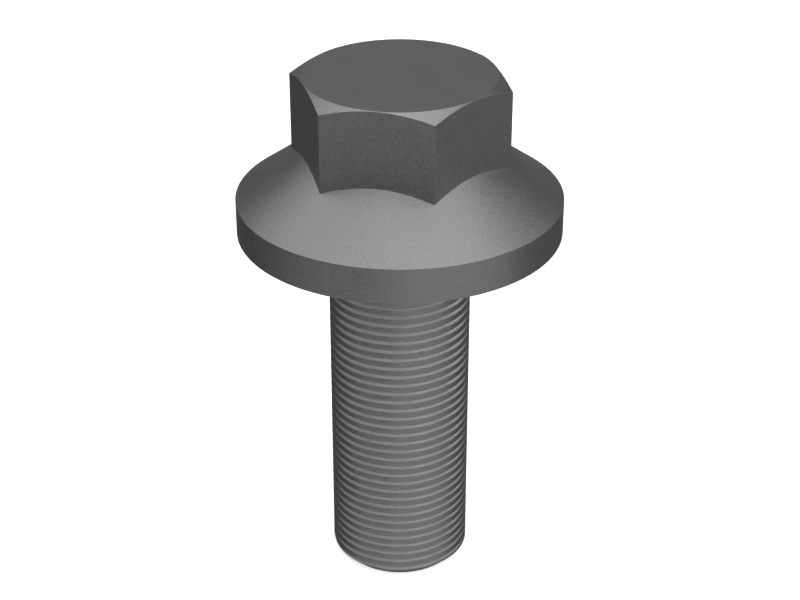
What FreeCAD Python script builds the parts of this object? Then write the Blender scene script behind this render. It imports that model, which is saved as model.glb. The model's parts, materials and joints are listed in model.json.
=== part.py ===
import FreeCAD, Part
import math
import os
import Sketcher

# A flange bolt: a hexagon head on a wide coned flange, with a round shank below it.
# It is one solid, forged and turned in one piece. Its frame has Z along the axis, up
# towards the head, with zero on the face under the flange. Two flats of the hexagon
# face along Y, and two of its corners lie over X. The shank is plain here, as wide as
# the crests of its fine thread. Lengths are in millimetres and angles in degrees.

SIZES = {
    "shank_diameter": 6.0,
    "shank_length": 16.0,
    "end_chamfer": 0.4,
    "neck_radius": 0.25,
    "flange_diameter": 13.6,
    "rim_height": 1.49,
    "cone_angle": 35.8,
    "across_flats": 8.0,
    "head_height": 6.77,
    "crown_drop": 0.37,
    "crown_angle": 30.0,
}

# What the dimensions of the sketches read from the sheet.
SHANK_RADIUS = "Sizes.shank_diameter / 2"
SHANK_LENGTH = "Sizes.shank_length"
FLANGE_RADIUS = "Sizes.flange_diameter / 2"
RIM_HEIGHT = "Sizes.rim_height"
CONE_RISE = "(%s - %s) * tan(Sizes.cone_angle * 1 deg)" % (FLANGE_RADIUS, SHANK_RADIUS)
FLAT_RADIUS = "Sizes.across_flats / 2"
CORNER_RADIUS = "Sizes.across_flats / sqrt(3)"
HEAD_HEIGHT = "Sizes.head_height"
CROWN_RADIUS = CORNER_RADIUS + " - Sizes.crown_drop / tan(Sizes.crown_angle * 1 deg)"
CROWN_REACH = "(%s - (%s)) * tan(Sizes.crown_angle * 1 deg)" % (FLANGE_RADIUS, CROWN_RADIUS)

# The numbers by which a sketch knows its own axes, a line's two ends and a circle's centre.
ORIGIN = (-1, 1)
ACROSS_AXIS_INDEX, UPRIGHT_AXIS_INDEX = -1, -2
START_INDEX, END_INDEX, CENTRE_INDEX = 1, 2, 3

HEXAGON_SIDES = 6
TOLERANCE = 1e-6
NODE = "flange_bolt"


def make_sheet(doc):
    """Write each driving size in a row of its own, with its name as the alias."""
    sheet = doc.addObject("Spreadsheet::Sheet", "Sizes")
    for row, (name, value) in enumerate(SIZES.items(), start=1):
        sheet.set("A%d" % row, name)
        sheet.set("B%d" % row, str(value))
        sheet.setAlias("B%d" % row, name)
    doc.recompute()


def amount(owner, expression):
    """The plain number that an expression gives."""
    result = owner.evalExpression(expression)
    return float(getattr(result, "Value", result))


def make_sketch(body, name, role):
    """Put an empty sketch on one of the body's own origin planes."""
    plane = next(item for item in body.Origin.OriginFeatures if item.Role == role)
    sketch = body.newObject("Sketcher::SketchObject", name)
    sketch.AttachmentSupport = [(plane, "")]
    sketch.MapMode = "FlatFace"
    return sketch


def constrain(sketch, kind, *places):
    return sketch.addConstraint(Sketcher.Constraint(kind, *places))


def drive(sketch, name, kind, places, expression):
    """Add one named dimension to a sketch and bind it to the sheet."""
    number = constrain(sketch, kind, *places, amount(sketch, expression))
    sketch.renameConstraint(number, name)
    sketch.setExpression("Constraints." + name, expression)


def draw_outline(sketch, corners):
    """Draw a closed outline of straight lines, each joined to the next, and number them."""
    points = [FreeCAD.Vector(across, up, 0) for across, up in corners]
    lines = []
    for first, second in zip(points, points[1:] + points[:1]):
        lines.append(sketch.addGeometry(Part.LineSegment(first, second), False))
    for line, following in zip(lines, lines[1:] + lines[:1]):
        constrain(sketch, "Coincident", line, END_INDEX, following, START_INDEX)
    return lines


def turn_about_axis(body, kind, name, sketch):
    turned = body.newObject(kind, name)
    turned.Profile = sketch
    turned.ReferenceAxis = (sketch, ["V_Axis"])
    turned.Angle = 360
    return turned


def turn_shank_and_flange(body):
    """Turn half of the section about the axis: shank, face under the flange, rim and cone.

    The cone runs on inside the hexagon until it is over the shank.
    """
    sketch = make_sketch(body, "TurnedSection", "XZ_Plane")
    shank = amount(sketch, SHANK_RADIUS)
    length = amount(sketch, SHANK_LENGTH)
    flange = amount(sketch, FLANGE_RADIUS)
    rim = amount(sketch, RIM_HEIGHT)
    cone_top = rim + amount(sketch, CONE_RISE)
    corners = [(0, -length), (shank, -length), (shank, 0), (flange, 0), (flange, rim),
               (shank, cone_top), (0, cone_top)]
    end_face, shank_side, seat, rim_side, cone, core_top, axis = draw_outline(sketch, corners)
    for level in (end_face, core_top):
        constrain(sketch, "Horizontal", level)
    for upright in (shank_side, rim_side):
        constrain(sketch, "Vertical", upright)
    for end in (START_INDEX, END_INDEX):
        constrain(sketch, "PointOnObject", axis, end, UPRIGHT_AXIS_INDEX)
        constrain(sketch, "PointOnObject", seat, end, ACROSS_AXIS_INDEX)
    drive(sketch, "shank_radius", "DistanceX", (*ORIGIN, shank_side, END_INDEX), SHANK_RADIUS)
    drive(sketch, "shank_length", "DistanceY", (end_face, START_INDEX, *ORIGIN), SHANK_LENGTH)
    drive(sketch, "flange_radius", "DistanceX", (*ORIGIN, seat, END_INDEX), FLANGE_RADIUS)
    drive(sketch, "rim_height", "DistanceY", (rim_side, START_INDEX, rim_side, END_INDEX), RIM_HEIGHT)
    drive(sketch, "cone_top_radius", "DistanceX", (*ORIGIN, cone, END_INDEX), SHANK_RADIUS)
    drive(sketch, "cone_rise", "DistanceY", (cone, START_INDEX, cone, END_INDEX), CONE_RISE)
    return turn_about_axis(body, "PartDesign::Revolution", "ShankAndFlange", sketch)


def raise_hexagon(body):
    """Raise the hexagon from the face under the flange up to the top of the head."""
    sketch = make_sketch(body, "HexagonOutline", "XY_Plane")
    radius = amount(sketch, CORNER_RADIUS)
    turns = [2 * math.pi * number / HEXAGON_SIDES for number in range(HEXAGON_SIDES)]
    corners = [(radius * math.cos(turn), radius * math.sin(turn)) for turn in turns]
    sides = draw_outline(sketch, corners)
    up = FreeCAD.Vector(0, 0, 1)
    corner_circle = sketch.addGeometry(Part.Circle(FreeCAD.Vector(), up, radius), True)
    constrain(sketch, "Coincident", corner_circle, CENTRE_INDEX, *ORIGIN)
    for side in sides:
        constrain(sketch, "PointOnObject", side, START_INDEX, corner_circle)
    for side in sides[1:]:
        constrain(sketch, "Equal", sides[0], side)
    upper_side = sides[1]
    constrain(sketch, "Horizontal", upper_side)
    drive(sketch, "flat_radius", "DistanceY", (*ORIGIN, upper_side, START_INDEX), FLAT_RADIUS)
    hexagon = body.newObject("PartDesign::Pad", "Hexagon")
    hexagon.Profile = sketch
    hexagon.setExpression("Length", HEAD_HEIGHT)
    return hexagon


def chamfer_crown(body):
    """Turn the head's top corners down to a cone, so that each flat ends in an arc."""
    sketch = make_sketch(body, "CrownCut", "XZ_Plane")
    top = amount(sketch, HEAD_HEIGHT)
    inner = amount(sketch, CROWN_RADIUS)
    outer = amount(sketch, FLANGE_RADIUS)
    corners = [(inner, top), (outer, top), (outer, top - amount(sketch, CROWN_REACH))]
    level, outside, slope = draw_outline(sketch, corners)
    constrain(sketch, "Horizontal", level)
    constrain(sketch, "Vertical", outside)
    drive(sketch, "top", "DistanceY", (*ORIGIN, level, START_INDEX), HEAD_HEIGHT)
    drive(sketch, "inner_radius", "DistanceX", (*ORIGIN, level, START_INDEX), CROWN_RADIUS)
    drive(sketch, "outer_radius", "DistanceX", (*ORIGIN, level, END_INDEX), FLANGE_RADIUS)
    drive(sketch, "reach", "DistanceY", (slope, START_INDEX, slope, END_INDEX), CROWN_REACH)
    return turn_about_axis(body, "PartDesign::Groove", "CrownChamfer", sketch)


def find_round_edge(feature, radius, height):
    """Name the feature's circular edge that has this radius at this height on the axis."""
    centre = FreeCAD.Vector(0, 0, height)
    for number, edge in enumerate(feature.Shape.Edges, start=1):
        circle = edge.Curve
        if not isinstance(circle, Part.Circle):
            continue
        if circle.Center.isEqual(centre, TOLERANCE) and abs(circle.Radius - radius) < TOLERANCE:
            return "Edge%d" % number
    raise ValueError("no circle of radius %g at height %g" % (radius, height))


def round_neck(body, base):
    """Round the inner corner between the shank and the face under the flange."""
    neck = body.newObject("PartDesign::Fillet", "Neck")
    neck.Base = (base, [find_round_edge(base, amount(base, SHANK_RADIUS), 0)])
    neck.setExpression("Radius", "Sizes.neck_radius")
    return neck


def chamfer_shank_end(body, base):
    """Chamfer the outer edge of the shank's end."""
    end = body.newObject("PartDesign::Chamfer", "ShankEnd")
    edge = find_round_edge(base, amount(base, SHANK_RADIUS), -amount(base, SHANK_LENGTH))
    end.Base = (base, [edge])
    end.setExpression("Size", "Sizes.end_chamfer")
    return end


def check_change(before, after, should_grow):
    """Stop unless the later feature added or took away material, as it should."""
    change = after.Shape.Volume - before.Shape.Volume
    if change == 0 or (change > 0) != should_grow:
        raise ValueError("%s changed the volume by %g" % (after.Label, change))


def make_flange_bolt(doc):
    body = doc.addObject("PartDesign::Body", "FlangeBolt")
    body.Label = NODE
    turned = turn_shank_and_flange(body)
    hexagon = raise_hexagon(body)
    crown = chamfer_crown(body)
    doc.recompute()
    neck = round_neck(body, crown)
    doc.recompute()
    shank_end = chamfer_shank_end(body, neck)
    body.Tip = shank_end
    body.Placement = FreeCAD.Placement()
    doc.recompute()
    check_change(turned, hexagon, should_grow=True)
    check_change(hexagon, crown, should_grow=False)
    check_change(crown, neck, should_grow=True)
    check_change(neck, shank_end, should_grow=False)
    return body


def check_document(doc, body):
    for item in doc.Objects:
        if {"Invalid", "Error"} & set(item.State):
            raise ValueError("%s failed: %s" % (item.Label, item.State))
    shape = body.Shape
    if shape.isNull() or not shape.isValid() or len(shape.Solids) != 1:
        raise ValueError("%s isn't one valid solid" % body.Label)


def main():
    doc = FreeCAD.newDocument("FlangeBolt")
    make_sheet(doc)
    bolt = make_flange_bolt(doc)
    check_document(doc, bolt)
    os.makedirs("parts", exist_ok=True)
    bolt.Shape.exportStep("parts/%s.step" % bolt.Label)
    print("%s: volume %.3f mm3" % (bolt.Label, bolt.Shape.Volume))


main()
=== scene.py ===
import cmath
import json
import math
from collections import namedtuple

import bpy
from bpy.props import FloatProperty, FloatVectorProperty, IntProperty, PointerProperty
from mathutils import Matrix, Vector


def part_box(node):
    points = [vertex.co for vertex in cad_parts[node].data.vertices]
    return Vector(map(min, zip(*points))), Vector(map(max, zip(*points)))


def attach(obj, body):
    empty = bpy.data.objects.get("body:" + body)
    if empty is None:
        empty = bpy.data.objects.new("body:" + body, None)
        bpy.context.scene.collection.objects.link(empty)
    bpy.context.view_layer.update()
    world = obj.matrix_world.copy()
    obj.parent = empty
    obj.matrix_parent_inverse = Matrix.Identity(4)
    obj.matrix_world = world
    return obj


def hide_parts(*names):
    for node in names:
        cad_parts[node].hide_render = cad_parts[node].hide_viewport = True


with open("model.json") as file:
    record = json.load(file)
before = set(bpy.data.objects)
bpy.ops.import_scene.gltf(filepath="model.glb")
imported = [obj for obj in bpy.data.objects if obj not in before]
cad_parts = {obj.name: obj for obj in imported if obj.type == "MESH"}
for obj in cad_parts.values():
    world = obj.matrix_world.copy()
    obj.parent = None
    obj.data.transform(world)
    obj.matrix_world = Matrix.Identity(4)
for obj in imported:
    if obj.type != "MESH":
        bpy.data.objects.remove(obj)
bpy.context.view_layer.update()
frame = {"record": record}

# A flange bolt in dark steel, with its thread, standing on its end on a pale floor.
# Lengths are in metres and angles in radians, in the bolt's own frame: Z runs up the
# axis, zero is the face under the flange, and two flats of the hexagon face along Y.

bl_info = {
    "name": "Flange bolt",
    "version": (1, 0, 0),
    "blender": (4, 5, 0),
    "location": "3D View > Sidebar > Flange bolt",
    "description": "Makes a steel flange bolt with its thread, and a plain studio to show it in",
    "category": "Add Mesh",
}

NODE = "flange_bolt"
BODY = "root"
MM = 0.001

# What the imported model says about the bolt.
LOWEST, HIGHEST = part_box(NODE)
MOUNTS = {mount["name"]: mount for mount in frame["record"]["mounts"]}
SHANK_RADIUS = MOUNTS["shank"]["dims"]["r_mm"] * MM
FLAT_RADIUS = MOUNTS["spanner_flat_back"]["pos_m"][1]

HEXAGON_SIDES = 6
FULL_TURN = 2 * math.pi
SIDE_TURN = FULL_TURN / HEXAGON_SIDES
HALF_SIDE_TURN = SIDE_TURN / 2

# The most of an edge's length that the rounding at one of its ends may take up.
ROUNDING_SHARE = 0.45

# How many columns of faces make each half of the hexagon's rounded corners.
ARC_COLUMNS = 2

# Turns of rows beyond the thread's length, so that the last row is below its end everywhere.
SPARE_TURNS = 2

# Where a row of the thread comes nearer to its first or last ring than this share of the
# rows' mean distance, it runs into the ring.
MERGE_SHARE = 0.3

# Heights that differ by less than this are the same.
HAIR = 1e-9

# How far the inner edge of the crown chamfer has worn, where an outer edge has worn by 1.
CROWN_WEAR = 0.6

# The part of an edge's wear that is even; the rest follows the patches of the steel.
EVEN_WEAR = 0.4

# How many times as light as the dull steel its bare worn edges are.
BARE_GAIN = 1.8

# Noise runs from 0 to 1, and this is its middle.
NOISE_MIDDLE = 0.5

# The numbers of a Mix node's sockets when it mixes colours.
MIX_AMOUNT, MIX_FIRST, MIX_SECOND, MIX_RESULT = 0, 6, 7, 2

WHITE = (1, 1, 1, 1)

# The camera sees nothing that is nearer than this share of its distance.
NEAREST_SHARE = 0.05


def length(name, description, default):
    return FloatProperty(name=name, description=description, default=default, min=0,
                         unit="LENGTH", precision=6)


def angle(name, description, degrees):
    return FloatProperty(name=name, description=description, default=math.radians(degrees),
                         subtype="ANGLE")


def share(name, description, default):
    return FloatProperty(name=name, description=description, default=default, min=0, max=1,
                         subtype="FACTOR")


# The soft round lamps, all at one distance from the bolt. Azimuth and elevation are in
# degrees, from the camera towards the right and above the horizon; width is in metres and
# power in watts. The values are rounded from a fit of renders to the photo's brightness.
# The two low ones shine up through the floor: they stand for the light that it throws back.
Lamp = namedtuple("Lamp", "name azimuth elevation width power")
LAMPS = (
    Lamp("left_lamp", -74, 29.5, 0.8, 1.58),
    Lamp("right_lamp", 51, 30, 0.38, 0.64),
    Lamp("side_lamp", 99.5, 14.5, 0.32, 0.55),
    Lamp("top_lamp", 85.5, 76, 0.47, 0.95),
    Lamp("back_lamp", -146, 59, 0.42, 0.44),
    Lamp("far_left_lamp", -165, 6, 0.2, 0.014),
    Lamp("far_right_lamp", 168, 11, 0.24, 0.036),
    Lamp("front_lamp", 0, 26, 0.52, 0.84),
    Lamp("low_left_lamp", -50, -59, 0.4, 0.35),
    Lamp("low_right_lamp", 38, -47.5, 0.71, 0.87),
)


class BoltSizes(bpy.types.PropertyGroup):
    """The sizes of the head, the flange and the plain parts of the shank."""

    shank_radius: length("Shank radius", "Radius over the thread's crests", SHANK_RADIUS)
    shank_length: length("Shank length", "From the face under the flange to the end", -LOWEST.z)
    flange_radius: length("Flange radius", "Outer radius of the rim", HIGHEST.x)
    flat_radius: length("Flat radius", "From the axis to a flat of the hexagon", FLAT_RADIUS)
    head_height: length("Head height", "From the face under the flange to the top", HIGHEST.z)
    rim_height: length("Rim height", "Height of the flange's straight rim", 1.49 * MM)
    cone_angle: angle("Cone angle", "Slope of the flange's cone", 35.8)
    crown_drop: length("Crown drop", "How far the crown chamfer lowers the corners", 0.37 * MM)
    crown_angle: angle("Crown angle", "Slope of the crown chamfer", 30)
    end_chamfer: length("End chamfer", "Chamfer of the shank's end", 0.4 * MM)
    neck_radius: length("Neck radius", "Rounding between shank and flange", 0.25 * MM)
    edge_rounding: length("Edge rounding", "Rounding of the outer edges", 0.008 * MM)
    corner_rounding: length("Corner rounding", "Rounding of the hexagon's upright edges",
                            0.015 * MM)
    columns_per_side: IntProperty(name="Columns", description="Columns of faces on each side",
                                  default=24, min=8)


class ThreadSizes(bpy.types.PropertyGroup):
    """The sizes of the right-handed thread on the shank."""

    pitch: length("Pitch", "From one turn to the next", 0.4116 * MM)
    depth: length("Depth", "From crest to root", 0.07 * MM)
    crest_share: share("Crest share", "Part of the pitch that is flat crest", 0.61)
    root_share: share("Root share", "Part of the pitch that is flat root", 0.02)
    upper_share: share("Upper flank share", "Part of the pitch under the flank that faces up",
                       0.28)
    rounding: share("Rounding", "How far the corners of crest and root are rounded", 0.8)
    neck_length: length("Neck length", "Plain part between the flange and the thread",
                        0.4 * MM)
    fade_length: length("Fade length", "Over which the grooves reach their full depth",
                        0.25 * MM)
    turn: angle("Turn", "Turns the thread about the axis", 129)


class SteelFinish(bpy.types.PropertyGroup):
    """The colour and surface of the steel."""

    colour: FloatVectorProperty(name="Colour", description="Colour of the steel",
                                default=(0.21, 0.21, 0.212), size=3, min=0, max=1,
                                subtype="COLOR")
    roughness: share("Roughness", "How dull the steel is", 0.45)
    metallic: share("Metallic", "How much the surface is bare metal", 1.0)
    grain_size: length("Grain size", "Width of the grain of the surface", 0.11 * MM)
    grain_height: length("Grain height", "Height of the grain of the surface", 0.01 * MM)
    grain_shade: share("Grain shade", "How much lighter and darker the grain is", 0.3)
    grain_dullness: share("Grain dullness", "How much duller the high grain is", 0.08)
    faced_grain: share("Grain of the top", "How much of the grain the smoother top keeps", 0.3)
    mottle_size: length("Mottle size", "Width of the patches of lighter and darker steel",
                        1.6 * MM)
    mottle: share("Mottle", "How much duller and sharper the patches are", 0.04)
    mottle_shade: share("Mottle shade", "How much lighter and darker the patches are", 0.08)
    # Painted shade: how much darker the colour is made in the thread's grooves, the deeper the
    # darker.
    groove_painted_shade: share("Groove shade", "How much darker the thread's grooves are", 0.1)
    wear: share("Edge wear", "How much lighter the edges have worn", 0.06)
    wear_polish: share("Wear polish", "How much smoother the worn edges are", 0.1)


class StudioSettings(bpy.types.PropertyGroup):
    """The camera, the lights and the floor."""

    azimuth: angle("Azimuth", "Where the camera stands, from the front towards the right",
                   12.95)
    elevation: angle("Elevation", "How high the camera stands above the horizon", 28.6)
    distance: length("Distance", "From the camera to the point it aims at", 77.75 * MM)
    aim_height: FloatProperty(name="Aim height", description="Height of the point aimed at",
                              default=-3.533 * MM, unit="LENGTH", precision=6)
    aim_side: length("Aim to the side", "How far right of the axis the camera aims", 0.01 * MM)
    focal_length: FloatProperty(name="Focal length", description="Of the camera's lens",
                                default=81.86, min=1, subtype="DISTANCE_CAMERA")
    lamp_distance: length("Lamp distance", "From the bolt to each lamp", 0.4)
    floor_colour: FloatVectorProperty(name="Floor colour", description="Colour of the floor",
                                      default=(0.9, 0.9, 0.9), size=3, min=0, max=1,
                                      subtype="COLOR")
    floor_glow: FloatProperty(name="Floor glow", description="Light of the floor's own",
                              default=0.5, min=0)
    floor_size: length("Floor size", "Width of the floor", 4.0)
    room_light: FloatProperty(name="Room light", description="Even light from all around",
                              default=0.061, min=0)


# Points of the bolt's section are complex numbers: the distance from the axis is the real
# part, and the height is the imaginary part.


def round_corner(before, corner, after, radius, steps):
    """The points of the arc that rounds one corner of the section."""
    back = (before - corner) / abs(before - corner)
    ahead = (after - corner) / abs(after - corner)
    half_angle = abs(cmath.phase(ahead / back)) / 2
    room = ROUNDING_SHARE * min(abs(before - corner), abs(after - corner))
    reach = min(radius / math.tan(half_angle), room)
    middle = (back + ahead) / abs(back + ahead)
    centre = corner + middle * reach / math.cos(half_angle)
    spoke = corner + back * reach - centre
    sweep = cmath.phase((corner + ahead * reach - centre) / spoke)
    return [centre + spoke * cmath.exp(1j * sweep * step / steps) for step in range(steps + 1)]


def between(first, last, count):
    """Evenly spaced points between two others, without those two."""
    return [first + (last - first) * step / (count + 1) for step in range(1, count + 1)]


def smooth(value):
    """A value from 0 to 1, eased at both ends."""
    value = min(max(value, 0), 1)
    return value * value * (3 - 2 * value)


class RoundedHexagon:
    """The outline of the hexagon, with its corners rounded."""

    def __init__(self, flat_radius, rounding):
        self.flat_radius = flat_radius
        self.rounding = rounding
        self.centre = (flat_radius - rounding) / math.cos(HALF_SIDE_TURN)
        tangent = self.centre + cmath.rect(rounding, HALF_SIDE_TURN)
        self.arc_turn = cmath.phase(tangent)

    def from_corner(self, turn):
        """The turn from the nearest corner, without its sign."""
        past = turn % SIDE_TURN
        return min(past, SIDE_TURN - past)

    def radius(self, turn):
        """The distance from the axis to the outline."""
        off = self.from_corner(turn)
        if off > self.arc_turn:
            return self.flat_radius / math.cos(HALF_SIDE_TURN - off)
        across = self.centre * math.sin(off)
        return self.centre * math.cos(off) + math.sqrt(self.rounding ** 2 - across ** 2)

    def on_arc(self, turn):
        """1 in the middle of a rounded corner, 0 on the flats."""
        return max(0, 1 - self.from_corner(turn) / self.arc_turn)

    def column_turn(self, number, per_side):
        """The turn from a corner to one of the columns of the side that follows it."""
        to_next = per_side - number
        if number <= ARC_COLUMNS:
            return self.arc_turn * number / ARC_COLUMNS
        if to_next <= ARC_COLUMNS:
            return SIDE_TURN - self.arc_turn * to_next / ARC_COLUMNS
        along = (number - ARC_COLUMNS) / (per_side - 2 * ARC_COLUMNS)
        return self.arc_turn + along * (SIDE_TURN - 2 * self.arc_turn)


class Columns:
    """The turns at which the columns of faces cross the round parts and the hexagon.

    They are evenly spaced on the round parts, and gather at the hexagon's corners.
    """

    def __init__(self, per_side, hexagon):
        self.round_turns = []
        self.hexagon_turns = []
        for side in range(HEXAGON_SIDES):
            for number in range(per_side):
                self.round_turns.append(SIDE_TURN * (side + number / per_side))
                self.hexagon_turns.append(SIDE_TURN * side + hexagon.column_turn(number, per_side))

    def turns(self, gathered):
        """The turns of all columns, from 0 for evenly spaced to 1 for the hexagon's."""
        return [even + (bent - even) * gathered
                for even, bent in zip(self.round_turns, self.hexagon_turns)]


class BoltMesh:
    """Collects the vertices and faces of the bolt's skin, its wear and its grooves.

    Each ring has one vertex for every column, and is joined to the ring before it.
    """

    def __init__(self):
        self.vertices = []
        self.wear = []
        self.groove = []
        self.turned = []
        self.faces = []

    def add_vertex(self, turn, point, wear=0.0, groove=0.0, turned=False):
        across = cmath.rect(point.real, turn)
        self.vertices.append((across.real, across.imag, point.imag))
        self.wear.append(wear)
        self.groove.append(groove)
        self.turned.append(turned)
        return len(self.vertices) - 1

    def add_ring(self, turns, points, wear, turned):
        return [self.add_vertex(turn, point, worn, turned=turned)
                for turn, point, worn in zip(turns, points, wear)]

    def add_round_ring(self, turns, point):
        return [self.add_vertex(turn, point, turned=True) for turn in turns]

    def add_pole(self, height):
        return self.add_vertex(0, complex(0, height))

    def add_face(self, *corners):
        """Add a face, leaving out corners that fall together."""
        kept = [corner for corner, previous in zip(corners, corners[-1:] + corners[:-1])
                if corner != previous]
        if len(set(kept)) > 2:
            self.faces.append(kept)

    def join(self, upper, lower):
        """Join two rings, the upper one first."""
        for column in range(len(upper)):
            following = (column + 1) % len(upper)
            self.add_face(upper[column], lower[column], lower[following], upper[following])

    def on_level(self, level):
        """1 for each vertex at this height, 0 for the others."""
        return [float(abs(vertex[2] - level) < HAIR) for vertex in self.vertices]

    def cap(self, pole, ring, facing_up):
        for column in range(len(ring)):
            following = (column + 1) % len(ring)
            if facing_up:
                self.add_face(pole, ring[column], ring[following])
            else:
                self.add_face(pole, ring[following], ring[column])


# One place of the section: its point, how much it has worn, and how far the columns there
# are gathered as on the hexagon.
Place = namedtuple("Place", "point wear gathered")


def plain(points, first_gathered=0, last_gathered=0):
    """Unworn places, with the columns passing from one spacing to the other."""
    steps = len(points) + 1
    return [Place(point, 0, first_gathered + (last_gathered - first_gathered) * number / steps)
            for number, point in enumerate(points, start=1)]


def edge(points, worn=1, gathered=0):
    """The places of a rounded edge, most worn in its middle."""
    last = len(points) - 1
    return [Place(point, worn * math.sin(math.pi * number / last), gathered)
            for number, point in enumerate(points)]


def head_section(sizes, thread, hexagon, turn):
    """The section of head, flange and neck where a column crosses the hexagon at this turn."""
    top = sizes.head_height
    corner_radius = sizes.flat_radius / math.cos(HALF_SIDE_TURN)
    crown_slope = math.tan(sizes.crown_angle)
    crown_radius = corner_radius - sizes.crown_drop / crown_slope
    side_radius = hexagon.radius(turn)
    cone_slope = math.tan(sizes.cone_angle)
    centre = complex(0, top)
    crown = complex(crown_radius, top)
    shoulder = complex(side_radius, top - (side_radius - crown_radius) * crown_slope)
    cone_foot = complex(sizes.flange_radius, sizes.rim_height)
    side_foot = complex(side_radius,
                        sizes.rim_height + (sizes.flange_radius - side_radius) * cone_slope)
    rim_foot = complex(sizes.flange_radius, 0)
    neck_top = complex(sizes.shank_radius, 0)
    neck_foot = complex(sizes.shank_radius, -thread.neck_length)
    radius = sizes.edge_rounding

    section = plain(between(centre, crown, count=3))
    section += edge(round_corner(centre, crown, shoulder, radius, steps=3), worn=CROWN_WEAR)
    section += plain(between(section[-1].point, shoulder, count=2), last_gathered=1)
    section += edge(round_corner(crown, shoulder, side_foot, radius, steps=4), gathered=1)
    side_wear = hexagon.on_arc(turn)
    section += [Place(point, side_wear, gathered=1)
                for point in between(section[-1].point, side_foot, count=7)]
    section += edge(round_corner(shoulder, side_foot, cone_foot, radius, steps=3), worn=0,
                    gathered=1)
    section += plain(between(section[-1].point, cone_foot, count=8), first_gathered=1)
    section += edge(round_corner(side_foot, cone_foot, rim_foot, radius, steps=4))
    section += plain(between(section[-1].point, rim_foot, count=3))
    section += edge(round_corner(cone_foot, rim_foot, neck_top, radius, steps=4))
    section += plain(between(section[-1].point, neck_top, count=4))
    section += plain(round_corner(rim_foot, neck_top, neck_foot, sizes.neck_radius, steps=6))
    section += plain([neck_foot])
    return section


def end_section(sizes):
    """The section below the chamfer: its lower edge and the end face."""
    end = -sizes.shank_length
    chamfer_top = complex(sizes.shank_radius, end + sizes.end_chamfer)
    end_edge = complex(sizes.shank_radius - sizes.end_chamfer, end)
    centre = complex(0, end)
    points = round_corner(chamfer_top, end_edge, centre, sizes.edge_rounding, steps=3)
    return points + between(points[-1], centre, count=3)


class ThreadForm:
    """The shape of the thread along the axis and the rows of vertices that follow it."""

    def __init__(self, sizes, thread):
        self.thread = thread
        self.crest_radius = sizes.shank_radius
        self.start = -thread.neck_length
        self.chamfer_top = sizes.end_chamfer - sizes.shank_length
        self.profile = self.groove_profile()
        pitches = (self.start - self.chamfer_top + thread.depth) / thread.pitch
        self.row_count = (math.ceil(pitches) + SPARE_TURNS) * len(self.profile)

    def groove_profile(self):
        """One pitch of the section, from a crest downwards, its corners rounded.

        Each point is its share of the pitch, and how deep it lies, from 0 to 1.
        """
        thread = self.thread
        scale = thread.depth / thread.pitch
        lower_share = 1 - thread.crest_share - thread.root_share - thread.upper_share
        places = [0, thread.crest_share, thread.crest_share + lower_share,
                  1 - thread.upper_share, 1, 1 + thread.crest_share]
        depths = [0, 0, scale, scale, 0, 0]
        corners = [complex(place, depth) for place, depth in zip(places, depths)]
        points = []
        for before, corner, after in zip(corners, corners[1:], corners[2:]):
            reach = thread.rounding * min(abs(corner - before), abs(after - corner)) / 2
            half_angle = abs(cmath.phase((before - corner) / (after - corner))) / 2
            points += round_corner(before, corner, after, reach * math.tan(half_angle), steps=2)
        return [(point.real, point.imag / scale) for point in points]

    def climb(self, turn):
        """How far round a turn is from where the rows begin, from 0 to 1."""
        return ((turn + self.thread.turn) % FULL_TURN) / FULL_TURN

    def height(self, row, turn):
        """The height of a row of vertices at one turn."""
        whole, number = divmod(row, len(self.profile))
        return self.start + self.thread.pitch * (self.climb(turn) - whole - self.profile[number][0])

    def point(self, row, height):
        """The point of a row at a height, and how far it lies in the groove."""
        fade = smooth((self.start - height) / self.thread.fade_length)
        groove = fade * self.profile[row % len(self.profile)][1]
        return complex(self.crest_radius - self.thread.depth * groove, height), groove

    def groove_at(self, turn, height):
        """How far a place on the thread lies in the groove."""
        down = (self.climb(turn) - (height - self.start) / self.thread.pitch) % 1
        first, last = self.profile[0], self.profile[-1]
        looped = [(last[0] - 1, last[1]), *self.profile, (first[0] + 1, first[1])]
        for (above, above_depth), (below, below_depth) in zip(looped, looped[1:]):
            if above <= down <= below:
                along = (down - above) / (below - above)
                return above_depth + (below_depth - above_depth) * along
        return 0.0

    def exit_point(self, turn):
        """Where the thread runs out on the chamfer of the shank's end."""
        painted_groove_shade = self.thread.depth * self.groove_at(turn, self.chamfer_top)
        return self.chamfer_point(painted_groove_shade)

    def chamfer_point(self, inward):
        """A point of the chamfer, this far inward from the crests."""
        return complex(self.crest_radius - inward, self.chamfer_top - inward)


def add_thread(mesh, form, turns, start_ring, exit_ring):
    """Wind the thread between the neck and the chamfer.

    A row climbs by one pitch in a turn, so where it comes round it meets the row that
    began one pitch higher. Above the first ring and below the last one the rows run into
    the rings.
    """
    gap = MERGE_SHARE * form.thread.pitch / len(form.profile)
    columns = []
    for turn, start, leave in zip(turns, start_ring, exit_ring):
        exit_height = mesh.vertices[leave][2]
        rows = [start]
        for row in range(form.row_count):
            height = form.height(row, turn)
            if height > form.start - gap:
                rows.append(start)
            elif height < exit_height + gap:
                rows.append(leave)
            else:
                point, groove = form.point(row, height)
                rows.append(mesh.add_vertex(turn, point, groove=groove))
        columns.append(rows)
    climbs = [form.climb(turn) for turn in turns]
    for column, rows in enumerate(columns):
        following = (column + 1) % len(columns)
        shift = len(form.profile) if climbs[following] < climbs[column] else 0
        beside = [start_ring[following]] * shift + columns[following]
        for row in range(form.row_count):
            mesh.add_face(rows[row], rows[row + 1], beside[row + 1], beside[row])


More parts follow.
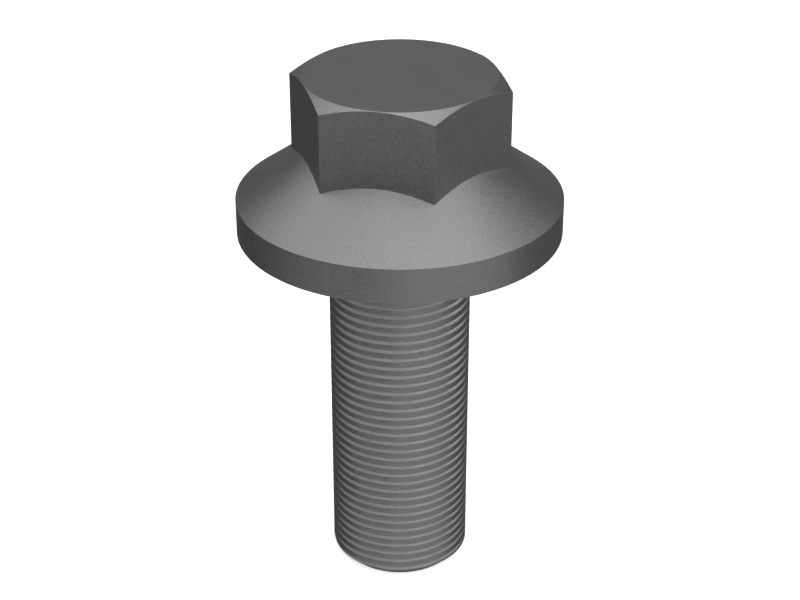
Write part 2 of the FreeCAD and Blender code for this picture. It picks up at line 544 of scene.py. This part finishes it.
def build_bolt_mesh(sizes, thread):
    hexagon = RoundedHexagon(sizes.flat_radius, sizes.corner_rounding)
    columns = Columns(sizes.columns_per_side, hexagon)
    mesh = BoltMesh()
    sections = [head_section(sizes, thread, hexagon, turn) for turn in columns.hexagon_turns]
    rings = []
    for level in zip(*sections):
        points, wear, gathered = zip(*level)
        # A ring whose columns are gathered in full lies on the hexagon, which isn't turned.
        turned = gathered[0] < 1
        rings.append(mesh.add_ring(columns.turns(gathered[0]), points, wear, turned))
    mesh.cap(mesh.add_pole(sizes.head_height), rings[0], facing_up=True)
    for upper, lower in zip(rings, rings[1:]):
        mesh.join(upper, lower)
    turns = columns.round_turns
    form = ThreadForm(sizes, thread)
    exit_points = [form.exit_point(turn) for turn in turns]
    exit_ring = mesh.add_ring(turns, exit_points, [0] * len(turns), turned=False)
    add_thread(mesh, form, turns, rings[-1], exit_ring)
    chamfer = form.chamfer_point(thread.depth + sizes.edge_rounding)
    end_rings = [exit_ring] + [mesh.add_round_ring(turns, point)
                               for point in [chamfer, *end_section(sizes)]]
    for upper, lower in zip(end_rings, end_rings[1:]):
        mesh.join(upper, lower)
    mesh.cap(mesh.add_pole(-sizes.shank_length), end_rings[-1], facing_up=False)
    return mesh


class Signal:
    """A shader socket that can be used in sums. Each operation adds a Math node."""

    def __init__(self, shader, socket):
        self.shader = shader
        self.socket = socket

    def __add__(self, other):
        return self.shader.math("ADD", self, other)

    def __radd__(self, other):
        return self.shader.math("ADD", other, self)

    def __sub__(self, other):
        return self.shader.math("SUBTRACT", self, other)

    def __rsub__(self, other):
        return self.shader.math("SUBTRACT", other, self)

    def __mul__(self, other):
        return self.shader.math("MULTIPLY", self, other)

    def __rmul__(self, other):
        return self.shader.math("MULTIPLY", other, self)


class Shader:
    """Builds the nodes of one material."""

    def __init__(self, name):
        self.material = bpy.data.materials.new(name)
        self.material.use_nodes = True
        self.tree = self.material.node_tree
        self.tree.nodes.clear()

    def node(self, kind, settings=None, inputs=None, output=0):
        """Add a node: its settings come first, then the values or links of its inputs."""
        made = self.tree.nodes.new(kind)
        for name, value in (settings or {}).items():
            setattr(made, name, value)
        for name, value in (inputs or {}).items():
            if isinstance(value, Signal):
                self.tree.links.new(value.socket, made.inputs[name])
            else:
                made.inputs[name].default_value = value
        return Signal(self, made.outputs[output]) if len(made.outputs) else made

    def math(self, operation, first, second):
        return self.node("ShaderNodeMath", {"operation": operation}, {0: first, 1: second})

    def mix_colour(self, amount, first, second, blend="MIX"):
        settings = {"data_type": "RGBA", "blend_type": blend}
        inputs = {MIX_AMOUNT: amount, MIX_FIRST: first, MIX_SECOND: second}
        return self.node("ShaderNodeMix", settings, inputs, MIX_RESULT)

    def noise(self, place, size, detail, roughness):
        """Noise with spots of about this size."""
        inputs = {"Vector": place, "Scale": 1 / size, "Detail": detail, "Roughness": roughness}
        return self.node("ShaderNodeTexNoise", {"noise_dimensions": "3D"}, inputs)

    def attribute(self, name):
        return self.node("ShaderNodeAttribute", {"attribute_name": name}, output="Fac")


def opaque(colour):
    return (*colour, 1)


def make_steel(finish):
    """Dull dark steel: a fine grain, faint patches, worn edges, painted shade in the grooves,
    smoother top.
    """
    shader = Shader("dark_steel")
    place = shader.node("ShaderNodeTexCoord", output="Object")
    grain = shader.noise(place, finish.grain_size, detail=1.0, roughness=0.5)
    mottle = shader.noise(place, finish.mottle_size, detail=4.0, roughness=0.55)
    keep = 1 - shader.attribute("faced") * (1 - finish.faced_grain)
    fine = (grain - NOISE_MIDDLE) * keep
    patches = mottle - NOISE_MIDDLE
    wear = shader.attribute("wear") * (EVEN_WEAR + mottle) * finish.wear
    # Painted shade: the colour darkens in the thread's grooves, the deeper the darker; the
    # brightness below holds it with the patches and the grain.
    painted_groove_shade = shader.attribute("groove") * finish.groove_painted_shade
    brightness = 1 + patches * finish.mottle_shade + fine * finish.grain_shade - painted_groove_shade
    steel = shader.mix_colour(1.0, opaque(finish.colour), brightness, "MULTIPLY")
    bare = opaque([min(1, BARE_GAIN * part) for part in finish.colour])
    colour = shader.mix_colour(wear, steel, bare)
    dull = finish.roughness + patches * finish.mottle + fine * finish.grain_dullness
    roughness = dull - wear * finish.wear_polish
    bump = shader.node("ShaderNodeBump", None,
                       {"Height": fine, "Distance": finish.grain_height, "Strength": 1.0})
    surface = shader.node("ShaderNodeBsdfPrincipled", None, {
        "Base Color": colour,
        "Metallic": finish.metallic,
        "Roughness": roughness,
        "Normal": bump,
    })
    shader.node("ShaderNodeOutputMaterial", None, {"Surface": surface})
    return shader.material


def make_floor_surface(settings):
    shader = Shader("pale_floor")
    surface = shader.node("ShaderNodeBsdfPrincipled", None, {
        "Base Color": opaque(settings.floor_colour),
        "Roughness": 0.9,
        "Specular IOR Level": 0.1,
        "Emission Color": WHITE,
        "Emission Strength": settings.floor_glow,
    })
    shader.node("ShaderNodeOutputMaterial", None, {"Surface": surface})
    return shader.material


def weighted_normals(data, turned):
    """The normal of each vertex. Its largest faces count most, so flats stay flat.

    Seen along the axis, the normals of turned surfaces point straight away from it.
    """
    normals = [Vector() for _ in data.vertices]
    for face in data.polygons:
        weight = (face.area / MM ** 2) ** 2
        for corner in face.vertices:
            normals[corner] += face.normal * weight
    for number, vertex in enumerate(data.vertices):
        normals[number].normalize()
        if turned[number]:
            outward = vertex.co.xy.normalized() * normals[number].xy.length
            normals[number].xy = outward
    return normals


def add_object(name, data):
    made = bpy.data.objects.new(name, data)
    bpy.context.scene.collection.objects.link(made)
    return made


def aim(item, place, target):
    """Put a lamp or a camera at a place, looking at a target."""
    item.location = place
    item.rotation_euler = (target - place).to_track_quat("-Z", "Y").to_euler()


def around(azimuth, elevation, distance, target):
    """The place at a distance from a target. Azimuth 0 is in front, on the side of -Y."""
    level = math.cos(elevation)
    way = Vector((math.sin(azimuth) * level, -math.cos(azimuth) * level, math.sin(elevation)))
    return target + way * distance


def add_floor(settings):
    half = settings.floor_size / 2
    level = LOWEST.z
    corners = [(-half, -half, level), (half, -half, level), (half, half, level),
               (-half, half, level)]
    data = bpy.data.meshes.new("floor")
    data.from_pydata(corners, [], [(0, 1, 2, 3)])
    data.materials.append(make_floor_surface(settings))
    floor = add_object("floor", data)
    # The low lamps stand for the floor's light, so the floor lights and shades nothing.
    floor.visible_diffuse = False
    floor.visible_glossy = False
    floor.visible_shadow = False


def add_camera(settings, target):
    data = bpy.data.cameras.new("camera")
    data.lens = settings.focal_length
    data.clip_start = settings.distance * NEAREST_SHARE
    data.clip_end = settings.floor_size * 2
    camera = add_object("camera", data)
    right = Vector((math.cos(settings.azimuth), math.sin(settings.azimuth), 0))
    aimed_at = target + right * settings.aim_side
    place = around(settings.azimuth, settings.elevation, settings.distance, aimed_at)
    aim(camera, place, aimed_at)
    return camera


def add_lamp(lamp, settings, target):
    data = bpy.data.lights.new(lamp.name, "AREA")
    data.shape = "DISK"
    data.size = lamp.width
    data.energy = lamp.power
    turn = settings.azimuth + math.radians(lamp.azimuth)
    place = around(turn, math.radians(lamp.elevation), settings.lamp_distance, target)
    aim(add_object(lamp.name, data), place, target)


def make_room(settings):
    """The even light of the room."""
    room = bpy.data.worlds.new("studio")
    room.use_nodes = True
    background = room.node_tree.nodes["Background"]
    background.inputs["Color"].default_value = WHITE
    background.inputs["Strength"].default_value = settings.room_light
    return room


class FLANGEBOLT_OT_make_bolt(bpy.types.Operator):
    """Make the bolt's skin with its thread, in dark steel"""

    bl_idname = "flange_bolt.make_bolt"
    bl_label = "Make the bolt"

    def execute(self, context):
        sizes = context.scene.flange_bolt_sizes
        thread = context.scene.flange_bolt_thread
        built = build_bolt_mesh(sizes, thread)
        data = bpy.data.meshes.new("flange_bolt_skin")
        data.from_pydata(built.vertices, [], built.faces)
        if data.validate():
            raise RuntimeError("the bolt's mesh has faults")
        looks = {"wear": built.wear, "groove": built.groove,
                 "faced": built.on_level(sizes.head_height)}
        for name, values in looks.items():
            layer = data.attributes.new(name, "FLOAT", "POINT")
            layer.data.foreach_set("value", values)
        data.polygons.foreach_set("use_smooth", [True] * len(data.polygons))
        data.normals_split_custom_set_from_vertices(weighted_normals(data, built.turned))
        data.materials.append(make_steel(context.scene.flange_bolt_finish))
        bolt = add_object("flange_bolt_skin", data)
        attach(bolt, BODY)
        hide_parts(NODE)
        return {"FINISHED"}


class FLANGEBOLT_OT_make_studio(bpy.types.Operator):
    """Make the pale floor, the soft lights and the camera"""

    bl_idname = "flange_bolt.make_studio"
    bl_label = "Make the studio"

    def execute(self, context):
        settings = context.scene.flange_bolt_studio
        target = Vector((0, 0, settings.aim_height))
        add_floor(settings)
        context.scene.camera = add_camera(settings, target)
        for lamp in LAMPS:
            add_lamp(lamp, settings, target)
        context.scene.world = make_room(settings)
        context.scene.view_settings.view_transform = "Standard"
        return {"FINISHED"}


class FLANGEBOLT_PT_panel(bpy.types.Panel):
    """The bolt's sizes and finish, the studio, and what makes them"""

    bl_idname = "FLANGEBOLT_PT_panel"
    bl_label = "Flange bolt"
    bl_space_type = "VIEW_3D"
    bl_region_type = "UI"
    bl_category = "Flange bolt"

    def draw(self, context):
        for name in SETTINGS:
            box = self.layout.box()
            group = getattr(context.scene, name)
            for key in group.__annotations__:
                box.prop(group, key)
        for operator in OPERATORS:
            self.layout.operator(operator.bl_idname)


SETTINGS = {
    "flange_bolt_sizes": BoltSizes,
    "flange_bolt_thread": ThreadSizes,
    "flange_bolt_finish": SteelFinish,
    "flange_bolt_studio": StudioSettings,
}
OPERATORS = (FLANGEBOLT_OT_make_bolt, FLANGEBOLT_OT_make_studio)
CLASSES = (*SETTINGS.values(), *OPERATORS, FLANGEBOLT_PT_panel)


def register():
    for item in CLASSES:
        bpy.utils.register_class(item)
    for name, group in SETTINGS.items():
        setattr(bpy.types.Scene, name, PointerProperty(type=group))


def unregister():
    for name in SETTINGS:
        delattr(bpy.types.Scene, name)
    for item in reversed(CLASSES):
        bpy.utils.unregister_class(item)


def main():
    register()
    bpy.ops.flange_bolt.make_bolt()
    bpy.ops.flange_bolt.make_studio()


if __name__ == "__main__":
    main()
